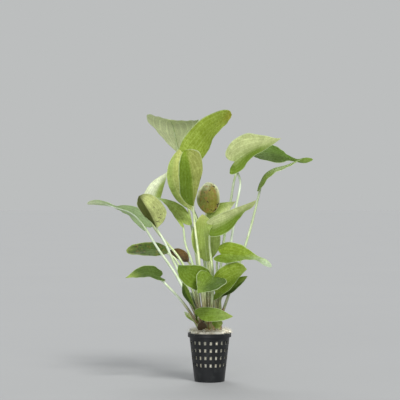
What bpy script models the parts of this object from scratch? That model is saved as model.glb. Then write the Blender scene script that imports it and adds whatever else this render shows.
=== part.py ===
"""Echinodorus plant in a net pot: a rosette of long-stalked leaves, growing from a crown
that sits in a plug of mineral wool, in a slotted plastic pot.

The pot stands on z = 0 with its axis on z, and the front of the plant looks along -y.
Lengths in the tables are in millimetres, and everything is built in metres.
"""

import math
from collections import namedtuple

import bmesh
import bpy
from mathutils import Vector

MM = 0.001
GAP = 0.3  # clearance between touching pieces

# Net pot
POT_HEIGHT = 60.0
POT_TOP_RADIUS = 24.9  # outer radius of the wall, under the rim
POT_BASE_RADIUS = 18.6
POT_WALL = 1.2
POT_FLOOR = 1.6
RIM_RADIUS = 27.0
RIM_DEPTH = 5.0
SLOT_COLUMNS = 20
SLOT_MIDDLES = (21.0, 30.2, 39.4, 48.6)  # heights of the rows of slots
SLOT_HEIGHT = 4.2
SLOT_SHARE = 0.42  # of the way from one slot to the next

# Mineral wool plug and the crown in it
WOOL_TOP = 62.5
WOOL_SHOULDER = 60.5
WOOL_SHOULDER_WIDTH = 1.5
WOOL_DIP = 0.8  # from its top down to the rim of its hollow
WOOL_SIDES = 24
CROWN_RADIUS = 17.0
CROWN_TOP = 66.0
CROWN_EDGE = 61.0
CROWN_BOTTOM = 38.0
CROWN_FOOT_RADIUS = 7.0
CROWN_RINGS = (1, 0.85, 0.6, 0.3)  # shares of its radius where its domed top is drawn
CROWN_SIDES = 20

# Leaves
BLADE_THICKNESS = 0.6
RIB_DEPTH = 0.6  # how far the midrib stands out under the base of the blade
BLADE_ROWS = 9
BLADE_COLUMNS = 2  # on each side of the midrib
NOTCH_SLOPE = 0.3  # how far the midrib's line is from the blade's hind edge, for its width there
RIPPLES = 9.0  # turn of a margin's waves over the length of the blade, in radians
RIPPLE_SHIFT = 2.5  # of the right margin's waves against the left one's
STALK_SIDES = 6
STALK_STEP = 16.0  # length of one straight piece of a stalk
STALK_FOOT_RADIUS = 1.9
STALK_TOP_RADIUS = 1.25
STALK_LEAN = 0.35  # how far sideways a stalk with no stated way has gone at half its height
FOOT_CLEARANCE = 0.9  # from the crown to the middle of the end of a leaning stalk
YOUNG_FOLD = 20  # degrees
YOUNG_RIPPLE = 0.2

CURVE_STEPS = 12  # between two points of a table
SHARP_ANGLE = 40  # degrees between two faces, from which their edge is drawn sharp

# Outlines of half a blade, from the stalk round to the tip, as shares of its length and half width
OUTLINES = {
    "heart": ((0, 0), (-0.07, 0.2), (-0.13, 0.5), (-0.08, 0.82), (0.1, 1), (0.3, 0.97), (0.5, 0.8),
              (0.7, 0.5), (0.86, 0.22), (1, 0)),
    "long_heart": ((0, 0), (-0.06, 0.2), (-0.1, 0.5), (-0.05, 0.82), (0.1, 1), (0.28, 0.92),
                   (0.45, 0.62), (0.6, 0.34), (0.72, 0.2), (0.85, 0.27), (0.94, 0.2), (1, 0)),
    "oval": ((0, 0), (0.04, 0.25), (0.16, 0.65), (0.34, 0.95), (0.5, 1), (0.68, 0.88), (0.84, 0.55),
             (0.95, 0.22), (1, 0)),
    "wedge": ((0, 0), (0.08, 0.14), (0.25, 0.4), (0.45, 0.72), (0.66, 1), (0.82, 0.92), (0.93, 0.55),
              (1, 0)),
    "blunt": ((0, 0), (0.03, 0.35), (0.14, 0.78), (0.34, 1), (0.6, 0.98), (0.8, 0.82), (0.94, 0.5), (1, 0)),
    "drawn_out": ((0, 0), (0.06, 0.5), (0.2, 0.9), (0.36, 1), (0.5, 0.72), (0.62, 0.3), (0.74, 0.2),
                  (0.87, 0.32), (0.96, 0.2), (1, 0)),
    "high_wedge": ((0, 0), (0.1, 0.1), (0.3, 0.32), (0.5, 0.6), (0.68, 0.92), (0.8, 1), (0.92, 0.68), (1, 0)),
    "long_blunt": ((0, 0), (0.02, 0.35), (0.12, 0.78), (0.3, 1), (0.5, 0.97), (0.7, 0.82), (0.86, 0.62),
                   (0.96, 0.38), (1, 0)),
    "round_lobe": ((0, 0), (-0.08, 0.25), (-0.1, 0.6), (0, 0.86), (0.2, 1), (0.36, 0.97), (0.55, 0.68),
                   (0.75, 0.36), (0.88, 0.13), (1, 0)),
    "deep_lobe": ((0, 0), (-0.1, 0.15), (-0.17, 0.45), (-0.15, 0.8), (-0.03, 1), (0.1, 0.96),
                  (0.2, 0.82), (0.35, 0.64), (0.5, 0.54), (0.7, 0.4), (0.87, 0.18), (1, 0)),
    "kite": ((0, 0), (0.05, 0.2), (0.25, 0.76), (0.42, 1), (0.66, 0.93), (0.86, 0.7), (0.96, 0.42), (1, 0)),
    "waisted": ((0, 0), (-0.05, 0.3), (0.04, 0.85), (0.2, 1), (0.36, 0.8), (0.5, 0.42), (0.6, 0.18),
                (0.72, 0.34), (0.84, 0.46), (0.94, 0.34), (1, 0)),
    "young": ((0, 0), (0.02, 0.3), (0.3, 0.26), (0.52, 0.3), (0.66, 0.75), (0.78, 1), (0.9, 0.6), (1, 0)),
}

# rib: points along the midrib, from the stalk to the tip.
# face: the way the upper side looks, at the stalk and at the tip.
# halves: widths left and right of the midrib, seen from above with the tip away.
# shape: the outline of each half.  fold: how far each half is raised, in degrees.
# curl: how far it bends on from there.  ripple: height of the waves of its margin.
# foot: where its stalk stands on the crown.  way: points that the stalk passes on its way up.
Leaf = namedtuple(
    "Leaf",
    "rib face halves shape fold curl ripple foot way colour",
    defaults=(("heart", "heart"), (10, 10), (10, 10), 0.8, None, (), "green"),
)

LEAVES = (
    # 1, top left, its underside to the front
    Leaf(((-40, 60, 285), (-43, 58, 304), (-46, 46, 319), (-50, 20, 325.5)), ((0, 1, 0), (0.2, 0.2, 1)),
         (34, 35), ("wedge", "wedge"), (5, 5), (12, 12), 1.0, (-3.6, 11.8), ((-24, 44, 200),), "pale"),
    # 2, top, the highest leaf, bright
    Leaf(((-33, 38, 263), (-14, 31, 292), (0, 19, 309.5), (14, 2, 320.5), (27.5, -16, 329.5)),
         ((-0.3, -1, 0.3), (-0.2, -1, 0.5)), (22, 17), ("long_blunt", "long_blunt"), (8, 8), (10, 10), 0.8,
         (-1.5, 6.8), ((-12, 24, 190),), "bright"),
    # 3, middle, folded along its midrib, in front
    Leaf(((-20, -8, 217), (-20, -18, 243), (-24, -24, 267), (-31, -20, 286)), ((0, -1, 0.1), (0, -1, 0.3)),
         (24, 19), ("oval", "high_wedge"), (36, 32), (10, 5), 0.6, (-4.5, -1), ((-13, -5, 150),), "green"),
    # 4, middle, behind leaf 3
    Leaf(((-23, 8, 213), (-36, 10, 228), (-45, 12, 250), (-44, 18, 272), (-38, 26, 289)),
         ((-0.2, -1, 0.1), (0, -1, 0.2)), (8, 28), ("oval", "oval"), (10, 5), (10, 0), 0.6, (-4.5, 3),
         ((-14, 8, 150),), "bright"),
    # 5, right, high
    Leaf(((31, -10, 272), (47.5, -18, 284), (68, -28, 293), (87, -38, 299.5)),
         ((-0.3, -0.9, 0.5), (-0.2, -0.9, 0.4)), (24, 17), ("round_lobe", "deep_lobe"), (8, -5), (10, 20),
         0.8, (4.5, -3), ((26, -4, 168), (33, -3, 216), (38, -3, 248)), "pale"),
    # 6, right, behind leaf 5
    Leaf(((54, 36, 282), (73, 42, 284.5), (95.5, 50, 280), (114.5, 58, 275), (133.5, 64, 277)),
         ((0.1, -0.8, 0.6), (0.1, -0.8, 0.6)), (14, 14), ("drawn_out", "drawn_out"), (0, 0), (0, 0), 0.6,
         (8, 5), ((19, 18, 180), (27, 24, 224), (34, 28, 258), (42, 32, 274)), "deep"),
    # 7, far right, arching and seen from its edge
    Leaf(((62, -4, 245), (68, -6, 256), (78, -8, 263), (93, -11, 267), (106, -13, 272), (115, -14, 276)),
         ((-0.6, -0.1, 0.8), (0, -0.2, 1)), (18, 20), ("heart", "heart"), (-6, -6), (-12, -12), 0.6,
         (9.4, 0), ((43, -4, 164), (48, -4, 180)), "green"),
    # 8, middle right
    Leaf(((5, -14, 194), (20, -23, 200), (38, -35, 211), (56, -48, 224.5)),
         ((-0.3, -1, 0.4), (-0.2, -1, 0.3)), (10, 20), ("heart", "long_heart"), (10, 10), (10, 10), 0.6,
         (2, -8.4), (), "pale"),
    # 9, middle right, behind leaf 8
    Leaf(((4, 14, 197), (13, 15, 208), (23, 14, 216), (33, 12, 223)), ((-0.3, -1, 0.3), (-0.2, -1, 0.3)),
         (14, 10), ("heart", "heart"), (5, 5), (10, 10), 0.5, (4, 9), (), "pale"),
    # 10, old and brown, in the middle
    Leaf(((-4, 10, 208), (-2, 6, 227), (-3, 10, 247)), ((0, -1, 0.1), (0, -1, 0.2)),
         (14, 15), ("oval", "blunt"), (5, 5), (5, 5), 1.0, (2.6, 4.4), (), "old"),
    # 11, standing in the heart of the plant
    Leaf(((-3, 5, 148), (-6, 4, 176), (-9, 5, 207)), ((0, -1, 0), (0, -1, 0.1)),
         (17, 20), ("oval", "oval"), (8, 8), (5, 5), 0.5, (0, 0), (), "pale"),
    # 12, right, lower
    Leaf(((14, -22, 158), (33, -32, 157), (47.5, -41, 156), (61, -49, 152), (74.5, -55, 143.5)),
         ((0, -0.8, 0.6), (0, -0.8, 0.6)), (18, 14), ("long_heart", "long_heart"), (5, 5), (5, 5), 0.8,
         (8.7, -5.2), (), "bright"),
    # 13, lower right, in front
    Leaf(((7, -24, 111), (20, -33, 122), (34, -41, 133.5), (45, -47, 141)),
         ((-0.3, -0.9, 0.3), (-0.3, -0.9, 0.3)), (20, 10), ("blunt", "heart"), (10, 10), (5, 5), 0.8,
         (7, -10), (), "green"),
    # 14, lower right, under leaf 13
    Leaf(((14, -16, 106), (26, -20, 114), (38, -24, 124), (46.5, -26, 131.5)),
         ((-0.3, -0.9, 0.3), (-0.3, -0.9, 0.3)), (9, 4), ("oval", "oval"), (10, 10), (5, 5), 0.5,
         (13.4, -3.6), (), "green"),
    # 15, lower left, in front
    Leaf(((-8, -28, 124), (-21, -38, 133), (-38, -47, 146)), ((0, -0.9, 0.3), (0, -0.9, 0.4)),
         (17, 17), ("blunt", "heart"), (10, 10), (10, 10), 0.8, (-3, -9.2), (), "green"),
    # 16, low in the middle, pointing to the front
    Leaf(((4, -44, 131), (-3, -56, 125), (-15, -68, 113)), ((0, -0.7, 0.7), (0, -0.9, 0.5)),
         (20, 18), ("heart", "heart"), (5, 5), (5, 5), 0.8, (1, -14), ((3, -36, 104),), "deep"),
    # 17, the lowest leaf in front
    Leaf(((-14, -34, 83), (-2, -40, 84.5), (13, -42, 85.5), (28.5, -40, 83.5)),
         ((0, -0.9, 0.4), (0, -0.9, 0.4)),
         (11, 9), ("heart", "oval"), (5, 5), (5, 5), 0.5, (-8, -11.8), (), "bright"),
    # 18, small, low right
    Leaf(((8, -20, 66), (9, -24, 72), (9, -28, 79)), ((0, -1, 0.2), (0, -1, 0.3)),
         (7, 7), ("wedge", "wedge"), (10, 10), (5, 5), 0.3, (6.5, -14.6), (), "bright"),
    # 19, small, old and brown, low left
    Leaf(((-8, -22, 66), (-9, -27, 70), (-10, -31, 77)), ((0, -1, 0.2), (0, -1, 0.3)),
         (7, 6), ("oval", "oval"), (10, 10), (5, 5), 0.3, (-5, -14.8), (), "old"),
    # 20, left, behind leaf 21
    Leaf(((-74.5, 34, 219), (-64.5, 40, 242), (-51.5, 44, 261.5)), ((0.2, -1, 0.2), (0.2, -1, 0.2)),
         (13, 9), ("heart", "heart"), (5, 5), (5, 5), 0.4, (-6.4, 7), ((-32, 14, 142),), "pale"),
    # 21, left, folded along its midrib
    Leaf(((-65, -14, 190), (-69.5, -22, 203), (-76, -30, 215), (-86.5, -34, 229.5)),
         ((0.1, -1, 0.2), (0.1, -1, 0.3)), (12, 20), ("wedge", "kite"), (20, 30), (5, 5), 0.5,
         (-7.2, -6.4), ((-45, -11, 150), (-57, -13, 176)), "pale"),
    # 22, far left, long, its underside to the front
    Leaf(((-79, 6, 191.5), (-95, 2, 208), (-117, -2, 216), (-136, -4, 221), (-152, -4, 220)),
         ((0.3, 0.6, 1), (0, 0.5, 1)), (16, 16), ("waisted", "waisted"), (5, 5), (5, 5), 0.6, (-9.2, -1.6),
         ((-45, 1, 137), (-64, 4, 164)), "pale"),
    # 23, left, dull green, its tip behind leaf 21
    Leaf(((-33, 4, 196), (-42, 10, 210), (-54, 17, 221), (-66, 23, 228)),
         ((0.3, -0.7, 0.6), (0.2, -0.7, 0.7)), (7, 14), ("heart", "heart"), (5, 5), (5, 5), 0.5,
         (-9, 3.2), ((-22, 5, 148), (-30, 6, 170)), "deep"),
    # 24, small and withered, left
    Leaf(((-26, 26, 147), (-37, 30, 155), (-50, 35, 161)), ((0, -0.9, 0.4), (0, -0.9, 0.4)),
         (7, 8), ("oval", "oval"), (10, 10), (5, 5), 0.6, (-10.6, 9.4), (), "old"),
    # 25, left, oval and speckled
    Leaf(((-52, 14, 159), (-70, 24, 162), (-88.5, 34, 162), (-105.5, 42, 161)),
         ((0, -0.8, 0.6), (0, -0.8, 0.6)),
         (11, 11), ("blunt", "blunt"), (5, 5), (5, 5), 0.5, (-13.4, 4.6), (), "speckled"),
    # 26, lower left
    Leaf(((-61, -18, 130), (-75, -26, 133.5), (-89, -34, 132.5), (-102.5, -41, 130)),
         ((0, -0.6, 0.8), (0, -0.6, 0.8)),
         (9, 17), ("heart", "heart"), (5, 5), (5, 5), 0.6, (-12, -8),
         ((-28, -15, 92), (-47, -16, 114)), "green"),
)

YOUNG_LEAVES = (
    # 1, pale and folded, under leaf 12
    Leaf(((12, -9, 65), (13, -14, 104), (17, -19, 134), (34, -21, 148)),
         ((0, -1, 0), (0, -0.9, 0.4)), (5, 4)),
    # 2, narrow, left
    Leaf(((-13.8, -3.6, 65), (-20, -16, 94), (-28, -20, 108), (-33, -22, 125)),
         ((0, -1, 0), (0, -1, 0.2)), (5, 5)),
    # 3, left, further back
    Leaf(((-9, 13.4, 64), (-13, 18, 84), (-18, 21, 98), (-26, 23, 109)),
         ((0, -1, 0), (0, -1, 0.2)), (7, 7)),
    # 4, the smallest, low left
    Leaf(((-11.6, -11.6, 64), (-17, -16, 73), (-24, -19, 80), (-31.5, -20, 88)),
         ((0, -1, 0), (0, -1, 0.2)), (3, 3)),
)

# Base colour, roughness
FINISHES = {
    "pale": ((0.42, 0.48, 0.20), 0.45),
    "bright": ((0.30, 0.42, 0.06), 0.40),
    "green": ((0.20, 0.33, 0.07), 0.42),
    "deep": ((0.11, 0.22, 0.05), 0.42),
    "old": ((0.28, 0.17, 0.07), 0.65),
    "speckled": ((0.20, 0.22, 0.07), 0.55),
    "stalk": ((0.50, 0.58, 0.33), 0.40),
    "crown": ((0.45, 0.40, 0.24), 0.60),
    "wool": ((0.62, 0.57, 0.48), 0.95),
    "pot": ((0.015, 0.016, 0.018), 0.45),
}


def clear_scene():
    for item in list(bpy.data.objects):
        bpy.data.objects.remove(item, do_unlink=True)


def finish(name):
    """The material of that name."""
    found = bpy.data.materials.get(name)
    if found:
        return found
    colour, roughness = FINISHES[name]
    material = bpy.data.materials.new(name)
    material.use_nodes = True
    shader = material.node_tree.nodes["Principled BSDF"]
    shader.inputs["Base Color"].default_value = (*colour, 1.0)
    shader.inputs["Roughness"].default_value = roughness
    return material


def add_node(name, mesh_data, material):
    """An object in the scene from a bmesh in millimetres, closed and facing out."""
    bmesh.ops.remove_doubles(mesh_data, verts=mesh_data.verts, dist=0.001)
    bmesh.ops.recalc_face_normals(mesh_data, faces=mesh_data.faces)
    bmesh.ops.scale(mesh_data, vec=(MM, MM, MM), verts=mesh_data.verts)
    mesh = bpy.data.meshes.new(name)
    mesh_data.to_mesh(mesh)
    mesh_data.free()
    mesh.shade_smooth()
    mesh.set_sharp_from_angle(angle=math.radians(SHARP_ANGLE))
    mesh.materials.append(finish(material))
    node = bpy.data.objects.new(name, mesh)
    bpy.context.collection.objects.link(node)
    return node


def smooth_route(points):
    """A fine line along a smooth curve through the points, with the length up to each of its points."""
    spots = [Vector(point) for point in points]
    slopes = []
    spans = [(b - a).length for a, b in zip(spots, spots[1:])]
    for n, spot in enumerate(spots):
        if n == 0:
            slopes.append((spots[1] - spot) / spans[0])
        elif n == len(spots) - 1:
            slopes.append((spot - spots[n - 1]) / spans[-1])
        else:
            before = (spot - spots[n - 1]) / spans[n - 1]
            after = (spots[n + 1] - spot) / spans[n]
            share = spans[n - 1] / (spans[n - 1] + spans[n])
            slopes.append(before.lerp(after, share))
    line = [spots[0]]
    for n, span in enumerate(spans):
        for step in range(1, CURVE_STEPS + 1):
            t = step / CURVE_STEPS
            line.append(
                spots[n] * (2 * t**3 - 3 * t**2 + 1)
                + slopes[n] * span * (t**3 - 2 * t**2 + t)
                + spots[n + 1] * (3 * t**2 - 2 * t**3)
                + slopes[n + 1] * span * (t**3 - t**2)
            )
    lengths = [0.0]
    for a, b in zip(line, line[1:]):
        lengths.append(lengths[-1] + (b - a).length)
    return line, lengths


def along(route, share):
    """The point at a share of the route's length, and the direction there. It runs straight past the ends."""
    line, lengths = route
    goal = share * lengths[-1]
    n = 0
    while n < len(line) - 2 and lengths[n + 1] < goal:
        n += 1
    step = (line[n + 1] - line[n]) / (lengths[n + 1] - lengths[n])
    before = (line[n] - line[n - 1]).normalized() if n else step
    after = (line[n + 2] - line[n + 1]).normalized() if n < len(line) - 2 else step
    t = min(1, max(0, (goal - lengths[n]) / (lengths[n + 1] - lengths[n])))
    turn = before.lerp(after, (t + 0.5) / 2) + step
    return line[n] + step * (goal - lengths[n]), turn.normalized()


def outline(shape, rows):
    """Points at even steps along half of a blade's outline."""
    flat = smooth_route([(a, b, 0) for a, b in OUTLINES[shape]])
    return [along(flat, row / rows)[0].xy for row in range(rows + 1)]


def frame_at(leaf, route, share):
    """The midrib's point there, its direction, the upper side's direction and the way to the right."""
    spot, ahead = along(route, share)
    face = Vector(leaf.face[0]).lerp(Vector(leaf.face[1]), min(1, max(0, share)))
    right = ahead.cross(face).normalized()
    return spot, ahead, right.cross(ahead), right


def blade_point(leaf, route, side, a, b):
    """A point of the blade's middle surface and the way its upper side looks there.

    a is the share of the length and b of the half width; side is 0 for the left half and 1 for the right.
    """
    spot, ahead, face, right = frame_at(leaf, route, a)
    out = right if side else -right
    width = leaf.halves[side]
    fold = math.radians(leaf.fold[side])
    curl = math.radians(leaf.curl[side])
    turn = fold + curl * b
    if abs(curl) < 0.01:
        reach = width * b * math.cos(fold)
        rise = width * b * math.sin(fold)
    else:
        reach = width / curl * (math.sin(turn) - math.sin(fold))
        rise = width / curl * (math.cos(fold) - math.cos(turn))
    wave = leaf.ripple * b * b * math.sin(RIPPLES * a + RIPPLE_SHIFT * side + leaf.rib[0][2])
    normal = face * math.cos(turn) - out * math.sin(turn)
    return spot + out * reach + face * rise + normal * wave, normal


def make_blade(name, leaf, material, thickness=BLADE_THICKNESS):
    route = smooth_route(leaf.rib)
    edges = [outline(shape, BLADE_ROWS) for shape in leaf.shape]
    starts = [
        max(0, (left.x + right.x - NOTCH_SLOPE * (left.y + right.y)) / 2) for left, right in zip(*edges)
    ]
    solid = bmesh.new()
    for side in (0, 1):
        upper = []
        lower = []
        for row, (start, (a, b)) in enumerate(zip(starts, edges[side])):
            upper_row = []
            lower_row = []
            for column in range(BLADE_COLUMNS + 1):
                out = column / BLADE_COLUMNS
                spot, normal = blade_point(leaf, route, side, start + (a - start) * out, b * out)
                if row == 0 or column == 0:
                    normal = frame_at(leaf, route, start)[2]
                half = 0 if column == BLADE_COLUMNS or row == BLADE_ROWS else thickness / 2
                rib = RIB_DEPTH * (1 - start) if half and (column == 0 or row == 0) else 0
                upper_row.append(solid.verts.new(spot + normal * half))
                lower_row.append(solid.verts.new(spot - normal * (half + rib)))
            upper.append(upper_row)
            lower.append(lower_row)
        for skin in (upper, lower):
            for near, far in zip(skin, skin[1:]):
                for column in range(BLADE_COLUMNS):
                    solid.faces.new((near[column], near[column + 1], far[column + 1], far[column]))
    return add_node(name, solid, material)


def crown_height(x, y):
    """Height of the crown's top there."""
    share = min(1, math.hypot(x, y) / CROWN_RADIUS)
    return CROWN_EDGE + (CROWN_TOP - CROWN_EDGE) * math.sqrt(1 - share * share)


def stalk_route(leaf):
    """From the crown up to the underside of the blade's base."""
    x, y = leaf.foot
    foot = Vector((x, y, crown_height(x, y) + FOOT_CLEARANCE))
    spot, _, face, _ = frame_at(leaf, smooth_route(leaf.rib), 0)
    under = BLADE_THICKNESS / 2 + RIB_DEPTH + GAP + STALK_TOP_RADIUS
    top = spot - face * under
    way = leaf.way
    if not way:
        sideways = foot.lerp(top, STALK_LEAN)
        way = ((sideways.x, sideways.y, (foot.z + top.z) / 2),)
    return smooth_route((foot, *way, top))


def make_stalk(name, leaf):
    route = stalk_route(leaf)
    pieces = max(2, round(route[1][-1] / STALK_STEP))
    solid = bmesh.new()
    rings = []
    across = Vector((0, -1, 0))
    for piece in range(pieces + 1):
        share = piece / pieces
        spot, ahead = along(route, share)
        across = (across - ahead * across.dot(ahead)).normalized()
        beside = ahead.cross(across)
        radius = STALK_FOOT_RADIUS + (STALK_TOP_RADIUS - STALK_FOOT_RADIUS) * share
        ring = []
        for n in range(STALK_SIDES):
            angle = 2 * math.pi * n / STALK_SIDES
            out = across * math.cos(angle) + beside * math.sin(angle)
            ring.append(solid.verts.new(spot + out * radius))
        rings.append(ring)
    for low, high in zip(rings, rings[1:]):
        for n in range(STALK_SIDES):
            after = (n + 1) % STALK_SIDES
            solid.faces.new((low[n], low[after], high[after], high[n]))
    solid.faces.new(reversed(rings[0]))
    solid.faces.new(rings[-1])
    return add_node(name, solid, "stalk")


def ring_of(solid, radius, height, sides, first_share=0.5):
    """Points round the axis in pairs of steps, the first of each taking first_share of the pair."""
    ring = []
    for n in range(sides):
        step = n // 2 + (n % 2) * first_share
        angle = 4 * math.pi * step / sides
        ring.append(solid.verts.new((radius * math.cos(angle), radius * math.sin(angle), height)))
    return ring


def make_turned(name, profile, sides, material):
    """A turned solid: the profile runs from the axis round to the axis again."""
    solid = bmesh.new()
    first = solid.verts.new((0, 0, profile[0][1]))
    last = solid.verts.new((0, 0, profile[-1][1]))
    rings = [ring_of(solid, radius, height, sides) for radius, height in profile[1:-1]]
    for low, high in zip(rings, rings[1:]):
        for n in range(sides):
            after = (n + 1) % sides
            solid.faces.new((low[n], low[after], high[after], high[n]))
    for n in range(sides):
        after = (n + 1) % sides
        solid.faces.new((first, rings[0][after], rings[0][n]))
        solid.faces.new((last, rings[-1][n], rings[-1][after]))
    return add_node(name, solid, material)


def pot_radius(height):
    """Outer radius of the wall at that height."""
    return POT_BASE_RADIUS + (POT_TOP_RADIUS - POT_BASE_RADIUS) * height / (POT_HEIGHT - RIM_DEPTH)


def make_net_pot():
    """A turned cup with a flanged rim, and slots through its wall in rows and columns."""
    sides = 2 * SLOT_COLUMNS
    solid = bmesh.new()
    levels = [0.0]
    for middle in SLOT_MIDDLES:
        levels += [middle - SLOT_HEIGHT / 2, middle + SLOT_HEIGHT / 2]
    levels.append(POT_HEIGHT - RIM_DEPTH)
    outer = [ring_of(solid, pot_radius(z), z, sides, SLOT_SHARE) for z in levels]
    inner = [ring_of(solid, pot_radius(z) - POT_WALL, z, sides, SLOT_SHARE) for z in [POT_FLOOR, *levels[1:]]]
    for n in range(sides):
        after = (n + 1) % sides
        for level in range(len(levels) - 1):
            slot = level % 2 == 1 and n % 2 == 0
            corners = [(n, level), (after, level), (after, level + 1), (n, level + 1)]
            if not slot:
                solid.faces.new([outer[h][s] for s, h in corners])
                solid.faces.new([inner[h][s] for s, h in reversed(corners)])
                continue
            for (s, h), (s_next, h_next) in zip(corners, corners[1:] + corners[:1]):
                solid.faces.new((outer[h][s], outer[h_next][s_next], inner[h_next][s_next], inner[h][s]))
    lip = [
        ring_of(solid, RIM_RADIUS, POT_HEIGHT - RIM_DEPTH, sides, SLOT_SHARE),
        ring_of(solid, RIM_RADIUS, POT_HEIGHT, sides, SLOT_SHARE),
        ring_of(solid, POT_TOP_RADIUS - POT_WALL, POT_HEIGHT, sides, SLOT_SHARE),
    ]
    for low, high in zip([outer[-1], *lip], [*lip, inner[-1]]):
        for n in range(sides):
            after = (n + 1) % sides
            solid.faces.new((low[n], low[after], high[after], high[n]))
    solid.faces.new(reversed(outer[0]))
    solid.faces.new(inner[0])
    return add_node("net_pot", solid, "pot")


def make_plug_and_crown():
    inner_base = pot_radius(POT_FLOOR) - POT_WALL - 2 * GAP
    inner_top = POT_TOP_RADIUS - POT_WALL - 2 * GAP
    crown = [(0, CROWN_BOTTOM), (CROWN_FOOT_RADIUS, CROWN_BOTTOM)]
    for share in CROWN_RINGS:
        radius = CROWN_RADIUS * share
        crown.append((radius, crown_height(radius, 0)))
    crown.append((0, CROWN_TOP))
    make_turned("crown", crown, CROWN_SIDES, "crown")
    wool = [
        (0, POT_FLOOR + GAP),
        (inner_base, POT_FLOOR + GAP),
        (inner_top, WOOL_SHOULDER),
        (inner_top - WOOL_SHOULDER_WIDTH, WOOL_TOP),
        (CROWN_RADIUS + 2 * GAP, WOOL_TOP - WOOL_DIP),
        (CROWN_RADIUS + 2 * GAP, CROWN_EDGE - GAP),
        (CROWN_FOOT_RADIUS + 2 * GAP, CROWN_BOTTOM - GAP),
        (0, CROWN_BOTTOM - GAP),
    ]
    make_turned("rock_wool", wool, WOOL_SIDES, "wool")


clear_scene()
make_net_pot()
make_plug_and_crown()
for number, leaf in enumerate(LEAVES, 1):
    make_blade(f"leaf_blade_{number:02d}", leaf, leaf.colour)
    make_stalk(f"leaf_stalk_{number:02d}", leaf)
for number, leaf in enumerate(YOUNG_LEAVES, 1):
    young = leaf._replace(shape=("young", "young"), fold=(YOUNG_FOLD, YOUNG_FOLD), ripple=YOUNG_RIPPLE)
    make_blade(f"young_leaf_{number:02d}", young, "pale", 2 * BLADE_THICKNESS)
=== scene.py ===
import math
import random
from collections import namedtuple

import bmesh
import bpy
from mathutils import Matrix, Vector, noise


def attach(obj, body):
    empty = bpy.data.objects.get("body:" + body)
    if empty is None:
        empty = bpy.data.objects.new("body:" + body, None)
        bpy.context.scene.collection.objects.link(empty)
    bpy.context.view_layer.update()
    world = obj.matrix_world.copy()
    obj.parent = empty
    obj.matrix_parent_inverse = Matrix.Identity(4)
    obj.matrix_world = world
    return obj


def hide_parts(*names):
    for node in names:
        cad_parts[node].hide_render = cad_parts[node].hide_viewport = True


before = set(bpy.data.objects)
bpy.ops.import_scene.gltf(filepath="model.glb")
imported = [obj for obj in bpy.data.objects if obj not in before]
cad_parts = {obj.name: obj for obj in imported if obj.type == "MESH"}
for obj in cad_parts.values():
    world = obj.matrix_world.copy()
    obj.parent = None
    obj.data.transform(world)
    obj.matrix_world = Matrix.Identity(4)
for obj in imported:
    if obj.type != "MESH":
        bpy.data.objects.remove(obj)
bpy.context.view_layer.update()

# Net pot
# One moulded piece of black plastic: a tapering cup with rows of small slots through its wall and a
# stiff rolled rim. Its edges are softly rounded, and the matt wall has a faint bloom of dried minerals.

MM = 0.001
POT_HEIGHT = 60.0
POT_TOP_RADIUS = 24.9
POT_BASE_RADIUS = 18.6
POT_WALL = 1.2
POT_FLOOR = 1.6
RIM_RADIUS = 27.0
RIM_DEPTH = 5.0
SLOT_COLUMNS = 20
SLOT_MIDDLES = (21.0, 30.2, 39.4, 48.6)
SLOT_HEIGHT = 4.2
SLOT_SHARE = 0.42  # of the way from one slot to the next
SLOT_PARTS = 4  # steps round the pot within a slot, and within the bar beside it
EDGE_ROUNDING = 0.22


def tone(red, green, blue):
    """A linear colour from the red, green and blue of a screen colour, each up to 255."""
    steps = (value / 255 for value in (red, green, blue))
    linear = [step / 12.92 if step <= 0.04045 else ((step + 0.055) / 1.055) ** 2.4 for step in steps]
    return (*linear, 1.0)


def feed(tree, node, sockets):
    """Gives each socket its value, or links it to the output of another node."""
    for name, value in sockets.items():
        if isinstance(value, bpy.types.NodeSocket):
            tree.links.new(value, node.inputs[name])
        else:
            node.inputs[name].default_value = value


def place(tree, kind, sockets=None, **settings):
    """A shader node of that kind, with its settings made and its sockets fed."""
    made = tree.nodes.new("ShaderNode" + kind)
    for name, value in settings.items():
        setattr(made, name, value)
    feed(tree, made, sockets or {})
    return made


def calc(tree, kind, first, second=0.0, third=0.0):
    """The result of one step of arithmetic."""
    return place(tree, "Math", {0: first, 1: second, 2: third}, operation=kind).outputs[0]


def mixed(tree, share, first, second):
    """A colour between two colours."""
    return place(tree, "Mix", {0: share, 6: first, 7: second}, data_type="RGBA").outputs[2]


def rise(tree, value, low, high):
    """0 under low and 1 over high, with a soft step between."""
    sockets = {"Value": value, "From Min": low, "From Max": high}
    return place(tree, "MapRange", sockets, interpolation_type="SMOOTHSTEP").outputs["Result"]


def cloud(tree, coordinates, scale, detail=3.0, warp=0.0):
    """Soft noise around 0.5."""
    sockets = {"Vector": coordinates, "Scale": scale, "Detail": detail, "Distortion": warp}
    return place(tree, "TexNoise", sockets).outputs[0]


def new_finish(name):
    """An empty material: itself, its tree, its shader and its place in metres."""
    material = bpy.data.materials.new(name)
    material.use_nodes = True
    tree = material.node_tree
    spot = place(tree, "TexCoord").outputs["Object"]
    return material, tree, tree.nodes["Principled BSDF"], spot


def relief(tree, shader, height, strength, depth):
    """Bumps the shader by a height, whose full range is depth in metres."""
    bump = place(tree, "Bump", {"Height": height, "Strength": strength, "Distance": depth})
    feed(tree, shader, {"Normal": bump.outputs["Normal"]})


def add_object(name, data):
    made = bpy.data.objects.new(name, data)
    bpy.context.scene.collection.objects.link(made)
    return made


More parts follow.
